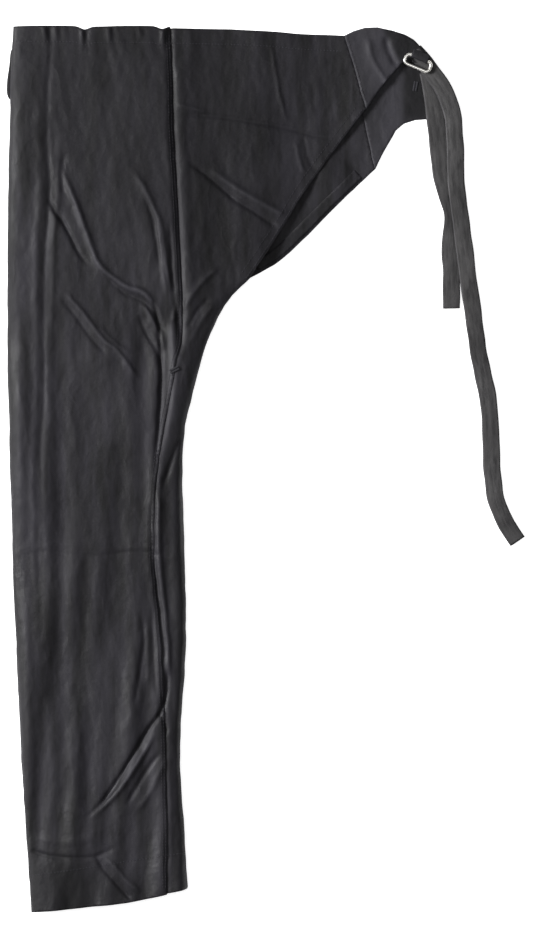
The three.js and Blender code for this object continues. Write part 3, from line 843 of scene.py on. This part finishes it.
def shifted(grid, lift, reach, pick):
    # a layer above (pick is np.maximum) or below (np.minimum) a mapped surface, smoother than it
    spread = grid
    for _ in range(round(reach / mapSet["step"])):
        padded = np.pad(spread, 1, mode="edge")
        for i in range(3):
            for j in range(3):
                spread = pick(spread, padded[i:i + grid.shape[0], j:j + grid.shape[1]])

    def result(x, y):
        u = np.clip((x - mapSet["low"][0]) / mapSet["step"], 0, grid.shape[0] - 1.001)
        v = np.clip((y - mapSet["low"][1]) / mapSet["step"], 0, grid.shape[1] - 1.001)
        i, j = u.astype(int), v.astype(int)
        a, b = u - i, v - j
        low = spread[i, j] * (1 - a) + spread[i + 1, j] * a
        high = spread[i, j + 1] * (1 - a) + spread[i + 1, j + 1] * a
        return low * (1 - b) + high * b + lift
    return result


# facings, lining and pad stack down from the left leg's outer cloth, and up from the right one's
layerSet = {
    "hem": {"left": -1.25, "right": 0.8}, "waist": {"left": -1.25, "right": 0.8},
    "seat": {"left": -1.25, "right": 0.5}, "gap": 0.45, "ply": 1.3, "stack": 3.9,
    "pad": {"left": 0.9, "right": 1.0}, "lining": {"left": 0.9, "right": 0.5},
    "turnReach": 2.5, "padReach": 5.0,
}
for side, outer, inner, sign, pick in (("left", upperHeight, leftInnerHeight, 1, np.minimum),
                                       ("right", lowerHeight, rightInnerHeight, -1, np.maximum)):
    body = side + "_leg"
    sewnPanel(f"{side}_front_cloth", f"{side}_front_panel", body, outer, leg["spacing"],
              outerCloth)
    sewnPanel(f"{side}_back_cloth", f"{side}_back_panel", body, lapped(outer, sign),
              leg["spacing"], outerCloth, lap=True)
    sewnPanel(f"{side}_tip_cloth", f"{side}_wing_tip", body, outer, leg["spacing"], tipSheenCloth)
    sewnPanel(f"{side}_inner_cloth", f"{side}_inner_panel", body, inner, leg["inner"],
              innerCloth)
    mapped = mapOf(outer)
    for part in ("hem", "waist", "seat"):
        turn = shifted(mapped, layerSet[part][side], layerSet["turnReach"], pick)
        sewnPanel(f"{side}_{part}_turn", f"{side}_{part}_facing", body, turn,
                  leg["spacing"], innerCloth)
    for ply in (1, 2, 3):
        lift = -sign * (layerSet["gap"] + layerSet["ply"] * (ply - 1) + layerSet["pad"][side])
        layPad(f"{side}_pad_{ply}", f"{side}_pad_ply_{ply}", body,
               shifted(mapped, lift, layerSet["padReach"], pick))
    lift = -sign * (layerSet["gap"] + layerSet["stack"] + layerSet["lining"][side])
    sewnPanel(f"{side}_lining_cloth", f"{side}_lining", body,
              shifted(mapped, lift, layerSet["padReach"], pick), leg["hidden"], liningCloth)
    print(side, "leg laid")

# ---- the yoke that joins the legs, one folded strip

yokeSet = {"cloth": 0.8, "across": 46, "along": 24}


def makeYoke():
    low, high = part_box("right_front_yoke")[0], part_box("left_front_yoke")[1]
    x0, x1 = (low.x - foldX) / mm, (high.x - foldX) / mm
    y0, y1 = (low.y - hemY) / mm, (high.y - hemY) / mm
    zLow, zHigh = low.z / mm + yokeSet["cloth"] / 2, high.z / mm - yokeSet["cloth"] / 2
    middle, half = (zLow + zHigh) / 2, (zHigh - zLow) / 2
    section = [(x, middle - half) for x in np.linspace(x1, x0 + 3, yokeSet["across"])]
    for angle in np.linspace(-90, 90, 13)[1:-1]:
        a = math.radians(angle)
        section.append((x0 + 3 - 2.6 * math.cos(a), middle + half * math.sin(a)))
    section += [(x, middle + half) for x in np.linspace(x0 + 3, x1, yokeSet["across"])]
    section = np.array(section)
    along = np.diff(section, axis=0)
    tangent = np.vstack([along[:1], (along[1:] + along[:-1]) / 2, along[-1:]])
    tangent /= np.linalg.norm(tangent, axis=1, keepdims=True)
    normal = np.stack([-tangent[:, 1], tangent[:, 0]], 1)
    coords = []
    n = len(section)
    for sign in (-1, 1):
        for t in np.linspace(0, 1, yokeSet["along"]):
            y = y0 + (y1 - y0) * t
            bulge = 0.9 * math.sin(t * 7.0 + 0.6) * np.exp(-((section[:, 0] - x0) / 6.0) ** 2)
            corner = 3.0 * abs(2 * t - 1) ** 8 + 3.6 * smooth(0.35, 0.95, t)
            rounding = corner * np.exp(-((section[:, 0] - x0) / 7.0) ** 2)
            face = section + normal * sign * yokeSet["cloth"] / 2
            coords.append(place(face[:, 0] - bulge * 0.6 + rounding, np.full(n, y), face[:, 1]))
    faces = slabFaces(yokeSet["along"], n)
    yoke = addObject("front_yoke_strip", np.concatenate(coords), faces, outerCloth)
    # the whole yoke, tucked between the legs where shade falls, gets painted shade
    dull = yoke.data.attributes.new("dull", "FLOAT", "POINT")
    dull.data.foreach_set("value", np.full(len(yoke.data.vertices), 0.7, np.float32))
    outwards(yoke)
    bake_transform(yoke)
    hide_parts("left_front_yoke", "right_front_yoke")


makeYoke()
print("yoke folded")

# ---- ties


def tieLine(node):
    # the middle of a tie, from its two long sides; the root comes first
    ring = outlines[node]
    width = tieSet["width"]
    ends = [i for i in range(len(ring))
            if 0.9 * width < math.dist(ring[i], ring[(i + 1) % len(ring)]) < 1.35 * width]
    pairs = [(math.dist(ring[i], ring[j]), i, j) for i in ends for j in ends if i < j]
    _, i, j = max(pairs)
    sideA = ring[i + 1:j + 1]
    sideB = np.concatenate([ring[j + 1:], ring[:i + 1]])[::-1]
    middle = (evenly(sideA, 160) + evenly(sideB, 160)) / 2
    return middle if middle[0][1] > middle[-1][1] else middle[::-1]


def evenly(line, count):
    steps = np.concatenate([[0], np.cumsum(np.linalg.norm(np.diff(line, axis=0), axis=1))])
    spots = np.linspace(0, steps[-1], count)
    return np.stack([np.interp(spots, steps, line[:, k]) for k in (0, 1)], 1)


tieSet = {"width": 19.4, "cloth": 1.2, "across": 11, "step": 2.6}
tieShapes = {
    # heights are the tape's underside by distance along; rolls tip it about its length, in degrees
    "left": {
        "height": [(0, 4.5), (20, 4.3), (60, 4.0), (120, 4.0), (180, 3.9), (270, 3.4), (310, 1.9), (360, 0.5),
                   (620, 0.4)],
        "roll": [(0, 0), (40, -7), (90, -4), (150, 3), (200, 8), (240, -3), (310, 2), (360, 9), (395, -5),
                 (450, 4), (510, -6), (560, 5), (620, 0)],
        "slim": [(0, 1), (620, 1)],
        "shift": [(0, 0), (50, 1.2), (75, 2.2), (130, 2.0), (190, 0), (620, 0)],
        "rises": 1.1, "seed": 41,
    },
    "right": {
        "height": [(0, 2.2), (14, 2.0), (50, 1.35), (120, 1.3), (170, 0.5), (260, 0.4)],
        "roll": [(0, 0), (70, 4), (120, -3), (163, 14), (190, -4), (230, 3), (270, 0)],
        "slim": [(0, 1), (40, 1.08), (90, 1.1), (120, 1.02), (163, 0.68), (192, 1.02), (270, 1)],
        "shift": [(0, 0), (40, -1.4), (90, -1.6), (120, -0.6), (163, -3.6), (192, -0.4), (270, 0)],
        "rises": 0.6, "seed": 43,
    },
}


def makeTie(side):
    shape = tieShapes[side]
    line = tieLine(side + "_tie")
    length = float(np.linalg.norm(np.diff(line, axis=0), axis=1).sum())
    count = int(length / tieSet["step"])
    line = evenly(line, count)
    s = np.linspace(0, length, count)
    tangent = np.gradient(line, axis=0)
    tangent /= np.linalg.norm(tangent, axis=1, keepdims=True)
    out = np.stack([tangent[:, 1], -tangent[:, 0]], 1)
    read = {key: np.interp(s, *np.array(shape[key]).T) for key in ("height", "roll", "slim", "shift")}
    soften = np.hanning(15) / np.hanning(15).sum()
    for key in read:
        padded = np.concatenate([np.full(7, read[key][0]), read[key], np.full(7, read[key][-1])])
        read[key] = np.convolve(padded, soften, "valid")
    t = np.linspace(-1, 1, tieSet["across"])
    half = tieSet["width"] / 2
    S, T = np.meshgrid(s, t, indexing="ij")
    roll = np.radians(read["roll"])[:, None]
    across = T * half * read["slim"][:, None] * np.cos(roll)
    edgeWave = 0.35 * waves(S, T * 4, shape["seed"], 40)
    across = across + edgeWave * np.abs(T)
    z = read["height"][:, None] + (T * half) * np.sin(roll)
    z = z - z.min(1, keepdims=True) + read["height"][:, None]
    z = z + shape["rises"] * 0.5 * (1 + np.clip(waves(S, T * 9, shape["seed"] + 1, 52), -1, 1))
    z = z + 0.45 * (1 - T ** 2) - 0.25 * np.exp(-((np.abs(T) - 0.82) / 0.06) ** 2)
    z = np.maximum(z, 0.25)
    across = across + read["shift"][:, None]
    x = line[:, 0][:, None] + out[:, 0][:, None] * across
    y = line[:, 1][:, None] + out[:, 1][:, None] * across
    faces = slabFaces(*x.shape)
    x, y, z = x.ravel(), y.ravel(), z.ravel()
    top, under = place(x, y, z + tieSet["cloth"]), place(x, y, z)
    tie = addObject(side + "_tie_tape", np.concatenate([top, under]), faces, tieCloth)
    outwards(tie)
    uvs = np.stack([(T.ravel() + 1) * half * mm, S.ravel() * mm], 1)
    uvs = np.concatenate([uvs, uvs])
    layer = tie.data.uv_layers.new(name="UVMap")
    for loop in tie.data.loops:
        layer.data[loop.index].uv = uvs[loop.vertex_index]
    rim = tie.data.attributes.new("rim", "FLOAT", "POINT")
    rim.data.foreach_set("value", np.tile((1 - np.abs(T.ravel())) * half, 2).astype(np.float32))
    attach(tie, side + "_tie")
    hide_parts(side + "_tie")


for side in ("left", "right"):
    makeTie(side)
print("ties laid")

# ---- ring and its keeper

ringSet = {"corner": 4.2, "sides": 20, "arc": 9}


def ringFrame():
    # the ring's middle, its long direction, and its size, from the frame's own ring
    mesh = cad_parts["tie_ring"].data
    co = np.array([v.co for v in mesh.vertices])
    middle = (co.max(0) + co.min(0)) / 2
    flat = np.unique(co.round(6), axis=0)[:, :2] - middle[:2]
    _, directions = np.linalg.eigh(flat.T @ flat)
    long = directions[:, 1] * (1 if directions[0, 1] > 0 else -1)
    short = np.array([-long[1], long[0]])
    spread = flat @ np.stack([long, short], 1)
    return middle, long, short, np.ptp(spread, axis=0) / mm, np.ptp(co[:, 2]) / mm


def sweepLoop(path, wire, sides):
    # a round wire along a closed flat path of (u, v) points
    path = np.array(path)
    around = np.roll(path, -1, 0) - np.roll(path, 1, 0)
    around /= np.linalg.norm(around, axis=1, keepdims=True)
    out = np.stack([around[:, 1], -around[:, 0]], 1)
    coords, faces = [], []
    for p, o in zip(path, out):
        for k in range(sides):
            a = 2 * math.pi * k / sides
            coords.append((p[0] + o[0] * math.cos(a) * wire / 2, p[1] + o[1] * math.cos(a) * wire / 2,
                           math.sin(a) * wire / 2))
    n = len(path)
    for i in range(n):
        for k in range(sides):
            a, b = i * sides + k, i * sides + (k + 1) % sides
            c, d = ((i + 1) % n) * sides + (k + 1) % sides, ((i + 1) % n) * sides + k
            faces.append((a, b, c, d))
    return coords, faces


ringSteel = bpy.data.materials.new("ringSteel")
ringSteel.use_nodes = True
steelTree = ringSteel.node_tree
steelShader = steelTree.nodes["Principled BSDF"]
steelShader.inputs["Metallic"].default_value = 1.0
steelCoords = steelTree.nodes.new("ShaderNodeTexCoord")
steelMottle = groupNode(steelTree, mottleGroup, steelCoords.outputs["Object"], Patches=30.0, Streaks=200.0)
steelColour = mixColour(steelTree, steelMottle.outputs["Patch"], (0.86, 0.85, 0.82), (0.74, 0.72, 0.68))
steelTree.links.new(steelColour, steelShader.inputs["Base Color"])
steelRough = rangeNode(steelTree, steelMottle.outputs["Patch"], 0, 1, 0.2, 0.26)
steelTree.links.new(steelRough, steelShader.inputs["Roughness"])

keeperSet = {"reach": 7.6, "wide": 20.0, "across": 14, "clear": 0.35, "wave": 0.22, "bow": 0.12, "pinch": 1.28}


def makeRing():
    middle, long, short, (spanU, spanV), wire = ringFrame()
    hx, hy, r = spanU / 2 - wire / 2, spanV / 2 - wire / 2, min(ringSet["corner"], spanV / 2 - wire / 2)
    path = []
    corners = ((hx - r, hy - r), (-hx + r, hy - r), (-hx + r, -hy + r), (hx - r, -hy + r))
    for turn, (cx, cy) in enumerate(corners):
        for a in np.radians(np.linspace(90 * turn, 90 * turn + 90, ringSet["arc"])):
            path.append((cx + r * math.cos(a), cy + r * math.sin(a)))
    tidy = [p for i, p in enumerate(path) if math.dist(p, path[i - 1]) > 0.01]
    coords, faces = sweepLoop(tidy, wire, ringSet["sides"])
    turned = [middle + (long[0] * u * mm + short[0] * v * mm, long[1] * u * mm + short[1] * v * mm, w * mm)
              for u, v, w in coords]
    ring = addObject("wire_ring", turned, faces, ringSteel)
    outwards(ring)
    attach(ring, "tie_ring")
    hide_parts("tie_ring")

    # the keeper: a hairpin of tape round the ring's upper bar, pressed flat past it
    low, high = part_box("ring_keeper")
    barV = spanV / 2 - wire / 2
    inner = wire / 2 + keeperSet["clear"]
    tape = (high.z - low.z) / mm / 2 - inner - 0.05
    reach, wide = keeperSet["reach"], keeperSet["wide"]
    section = [(v, -inner) for v in np.linspace(reach, 0, 10)]
    section += [(-inner * math.sin(a), -inner * math.cos(a)) for a in np.radians(np.linspace(0, 180, 15)[1:-1])]
    pinch = keeperSet["pinch"]
    section += [(v, inner - pinch * smooth(0.3, 1.0, v / reach)) for v in np.linspace(0, reach, 10)]
    section = np.array(section, float)
    lean = np.gradient(section, axis=0)
    lean /= np.linalg.norm(lean, axis=1, keepdims=True)
    outer = section + np.stack([lean[:, 1], -lean[:, 0]], 1) * tape
    coords = []
    for part in (section, outer):
        for v, w in part:
            for along in np.linspace(-wide / 2, wide / 2, keeperSet["across"]):
                wave = keeperSet["wave"] * math.sin(along * 0.7 + v * 0.4)
                bow = keeperSet["bow"] * (v < 0) * (abs(along) / (wide / 2)) ** 3
                spot = middle[:2] + (long * along + short * (barV + v + wave - bow)) * mm
                coords.append((spot[0], spot[1], middle[2] + w * mm))
    keeper = addObject("ring_keeper_tape", coords, slabFaces(len(section), keeperSet["across"]), innerCloth)
    outwards(keeper)
    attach(keeper, "left_leg")
    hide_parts("ring_keeper")


makeRing()
print("ring and keeper made")

# ---- stitching


def makeStitchGroup():
    # one stitch of thread, repeated along every seam path and set into the cloth
    inputs = [("Geometry", "NodeSocketGeometry", None), ("Pitch", "NodeSocketFloat", 0.0036),
              ("Stitch length", "NodeSocketFloat", 0.0027), ("Thread width", "NodeSocketFloat", 0.0007),
              ("Unevenness", "NodeSocketFloat", 0.12), ("Seed", "NodeSocketInt", 5),
              ("Material", "NodeSocketMaterial", None)]
    outputs = [("Geometry", "NodeSocketGeometry")]
    group, start, end = newGroup("seamStitches", inputs, outputs, "GeometryNodeTree")
    sockets = {item.name: item.identifier for item in group.interface.items_tree if item.in_out == "INPUT"}
    link, new = group.links.new, group.nodes.new
    curve = new("GeometryNodeMeshToCurve")
    link(start.outputs["Geometry"], curve.inputs["Mesh"])
    resample = new("GeometryNodeResampleCurve")
    resample.mode = "LENGTH"
    link(curve.outputs["Curve"], resample.inputs["Curve"])
    link(start.outputs["Pitch"], resample.inputs["Length"])
    tangent = new("GeometryNodeInputTangent")
    turn = new("FunctionNodeAlignRotationToVector")
    turn.axis = "X"
    link(tangent.outputs["Tangent"], turn.inputs["Vector"])
    ball = new("GeometryNodeMeshUVSphere")
    ball.inputs["Segments"].default_value = 6
    ball.inputs["Rings"].default_value = 4
    ball.inputs["Radius"].default_value = 0.5
    vary = new("FunctionNodeRandomValue")
    vary.data_type = "FLOAT"
    link(start.outputs["Seed"], vary.inputs["Seed"])
    link(mathNode(group, "SUBTRACT", 1.0, start.outputs["Unevenness"]), vary.inputs[2])
    link(mathNode(group, "ADD", 1.0, start.outputs["Unevenness"]), vary.inputs[3])
    size = new("ShaderNodeCombineXYZ")
    link(mathNode(group, "MULTIPLY", start.outputs["Stitch length"], vary.outputs[1]), size.inputs[0])
    link(start.outputs["Thread width"], size.inputs[1])
    link(start.outputs["Thread width"], size.inputs[2])
    onPoints = new("GeometryNodeInstanceOnPoints")
    link(resample.outputs["Curve"], onPoints.inputs["Points"])
    link(ball.outputs["Mesh"], onPoints.inputs["Instance"])
    link(turn.outputs["Rotation"], onPoints.inputs["Rotation"])
    link(size.outputs["Vector"], onPoints.inputs["Scale"])
    real = new("GeometryNodeRealizeInstances")
    link(onPoints.outputs["Instances"], real.inputs["Geometry"])
    paint = new("GeometryNodeSetMaterial")
    link(real.outputs["Geometry"], paint.inputs["Geometry"])
    link(start.outputs["Material"], paint.inputs["Material"])
    link(paint.outputs["Geometry"], end.inputs["Geometry"])
    return group, sockets


stitchGroup, stitchSockets = makeStitchGroup()
threadCloth = clothMaterial("thread", {
    **shellCloth, "dark": (0.016, 0.016, 0.018), "light": (0.03, 0.03, 0.034), "threads": 2600.0,
    "rumpleDepth": 0.0001})


def stitchRows(name, body, rows, **settings):
    # rows are lists of (x, y, z) points in garment millimetres
    coords, edges = [], []
    for row in rows:
        first = len(coords)
        coords += [tuple(c) for c in place(row[:, 0], row[:, 1], row[:, 2])]
        edges += [(first + i, first + i + 1) for i in range(len(row) - 1)]
    mesh = bpy.data.meshes.new(name + "Path")
    mesh.from_pydata(coords, edges, [])
    path = bpy.data.objects.new(name + "Path", mesh)
    bpy.context.scene.collection.objects.link(path)
    modifier = path.modifiers.new("stitches", "NODES")
    modifier.node_group = stitchGroup
    for label, value in {"Material": threadCloth, **settings}.items():
        modifier[stitchSockets[label]] = value
    depsgraph = bpy.context.evaluated_depsgraph_get()
    made = bpy.data.meshes.new_from_object(path.evaluated_get(depsgraph))
    bpy.data.objects.remove(path)
    made.name = name
    made.polygons.foreach_set("use_smooth", [True] * len(made.polygons))
    obj = bpy.data.objects.new(name, made)
    bpy.context.scene.collection.objects.link(obj)
    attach(obj, body)
    print(name, len(made.polygons), "faces")
    return obj


def rowOn(height, x, y, lift):
    # a row of stitching that follows the cloth
    return np.stack([*warp(x, y), height(x, y) + lift], 1)


def besideEdge(outline, start, stop, inset, step=4.0):
    # a line just inside an outline, from the spot nearest start to the one nearest stop
    ring = []
    for a, b in zip(outline, np.roll(outline, -1, 0)):
        n = max(1, round(float(np.linalg.norm(b - a)) / step))
        ring += [a + (b - a) * k / n for k in range(n)]
    ring = np.array(ring)
    i = int(np.linalg.norm(ring - start, axis=1).argmin())
    j = int(np.linalg.norm(ring - stop, axis=1).argmin())
    run = ring[i:j + 1] if i <= j else np.concatenate([ring[i:], ring[:j + 1]])
    if len(run) > len(ring) / 2:
        run = ring[j:i + 1] if j <= i else np.concatenate([ring[j:], ring[:i + 1]])
        run = run[::-1]
    d = np.gradient(run, axis=0)
    d /= np.linalg.norm(d, axis=1, keepdims=True)
    inward = np.stack([-d[:, 1], d[:, 0]], 1)
    probe = run[len(run) // 2] + inward[len(run) // 2] * inset
    if not insideOutline(probe, outline):
        inward = -inward
    return run + inward * inset


def insideOutline(p, outline):
    a, b = outline, np.roll(outline, -1, 0)
    hit = (a[:, 1] <= p[1]) != (b[:, 1] <= p[1])
    with np.errstate(divide="ignore", invalid="ignore"):
        xs = a[:, 0] + (p[1] - a[:, 1]) / (b[:, 1] - a[:, 1]) * (b[:, 0] - a[:, 0])
    return (hit & (xs > p[0])).sum() % 2 == 1


def legRows(side, height):
    lift = 0.16 if side == "left" else -1.06
    seamYs = np.linspace(30, 990, 260)
    rows = [rowOn(height, seamX(seamYs) - inset, seamYs, lift) for inset in (1.5, 4.4)]
    hem, waist, seat, tip = (
        outlines[f"{side}_{part}"] for part in ("hem_facing", "waist_facing", "back_panel", "wing_tip"))
    corner = seat[(seat[:, 0] > seat[:, 0].max() - 0.5).argmax()]
    crotch = (backEdgeX(710), 715)
    waistEnd = (waist[:, 0].max(), waist[:, 1].min())
    # each: the outline, where the row starts and stops, how far in it runs and how many of its points to drop
    for outline, first, last, inset, trim in (
            (hem, (hem[:, 0].min(), hem[:, 1].min() + 45), hem.max(0), 2.0, 0),
            (waist, (waist[:, 0].min(), waist[:, 1].max() - 16), waistEnd, 2.0, 0),
            (seat, corner, crotch, 10.0, 2),
            (seat, corner, crotch, 2.4, 1),
            (tip, tip[tip[:, 0].argmin()], corner, 2.4, 1)):
        run = besideEdge(outline, first, last, inset)
        run = run[trim:len(run) - trim]
        rows.append(rowOn(height, run[:, 0], run[:, 1], lift))
    return rows


stitchRows("left_stitches", "left_leg", legRows("left", upperHeight))
stitchRows("right_stitches", "right_leg", legRows("right", lowerHeight))


tackSet = {"half": 5.2, "pitch": 0.52, "wide": 2.7, "lift": 0.5}
tackThread = {"Pitch": 0.0019, "Stitch length": 0.0028, "Thread width": 0.00062, "Seed": 9}


def tackBar(node, body, height, turn):
    # a bar tack: close parallel stitches over a short bar
    low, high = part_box(node)
    x, y = ((low.x + high.x) / 2 - foldX) / mm, ((low.y + high.y) / 2 - hemY) / mm
    z = float(height(np.array([x]), np.array([y]))[0]) + tackSet["lift"]
    wx, wy = warp(np.array([x]), np.array([y]))
    rows = []
    for k in np.arange(-tackSet["half"], tackSet["half"] + 0.1, tackSet["pitch"]):
        cx, cy = wx[0] + k * math.cos(turn), wy[0] + k * math.sin(turn)
        dx, dy = -math.sin(turn) * tackSet["wide"] / 2, math.cos(turn) * tackSet["wide"] / 2
        rows.append(np.array([(cx - dx, cy - dy, z), (cx + dx, cy + dy, z)]))
    obj = stitchRows(node.replace("_tack", "_bar_stitches"), body, rows, **tackThread)
    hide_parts(node)


tackBar("left_crotch_tack", "left_leg", upperHeight, 0.5)
tackBar("right_tie_tack", "right_leg", lowerHeight, 1.4)

# ---- light and table

bpy.ops.mesh.primitive_plane_add(size=30, location=(0, 0, -0.0002))
table = bpy.context.object
table.name = "paleTable"
tableMaterial = bpy.data.materials.new("paleTable")
tableMaterial.use_nodes = True
tableShader = tableMaterial.node_tree.nodes["Principled BSDF"]
tableShader.inputs["Base Color"].default_value = (0.93, 0.93, 0.93, 1)
tableShader.inputs["Roughness"].default_value = 0.9
tableShader.inputs["Specular IOR Level"].default_value = 0.1
tableShader.inputs["Emission Color"].default_value = (1, 1, 1, 1)
tableShader.inputs["Emission Strength"].default_value = 0.75
table.data.materials.append(tableMaterial)

world = bpy.data.worlds.new("paleRoom")
world.use_nodes = True
world.node_tree.nodes["Background"].inputs["Color"].default_value = (1.0, 1.0, 1.0, 1)
world.node_tree.nodes["Background"].inputs["Strength"].default_value = 0.22
bpy.context.scene.world = world
bpy.context.scene.view_settings.view_transform = "Standard"


def softBox(name, location, aim, size, power):
    data = bpy.data.lights.new(name, "AREA")
    data.shape = "RECTANGLE"
    data.size, data.size_y = size
    data.energy = power
    light = bpy.data.objects.new(name, data)
    light.location = location
    light.rotation_euler = (Vector(aim) - Vector(location)).to_track_quat("-Z", "Y").to_euler()
    bpy.context.scene.collection.objects.link(light)
    return light


softBox("windowLight", (-5.3, 1.2, 3.5), (0, -0.1, 0), (1.8, 1.8), 960)
softBox("ceilingBox", (0, 0, 5.2), (0, 0, 0), (3.0, 3.0), 50)
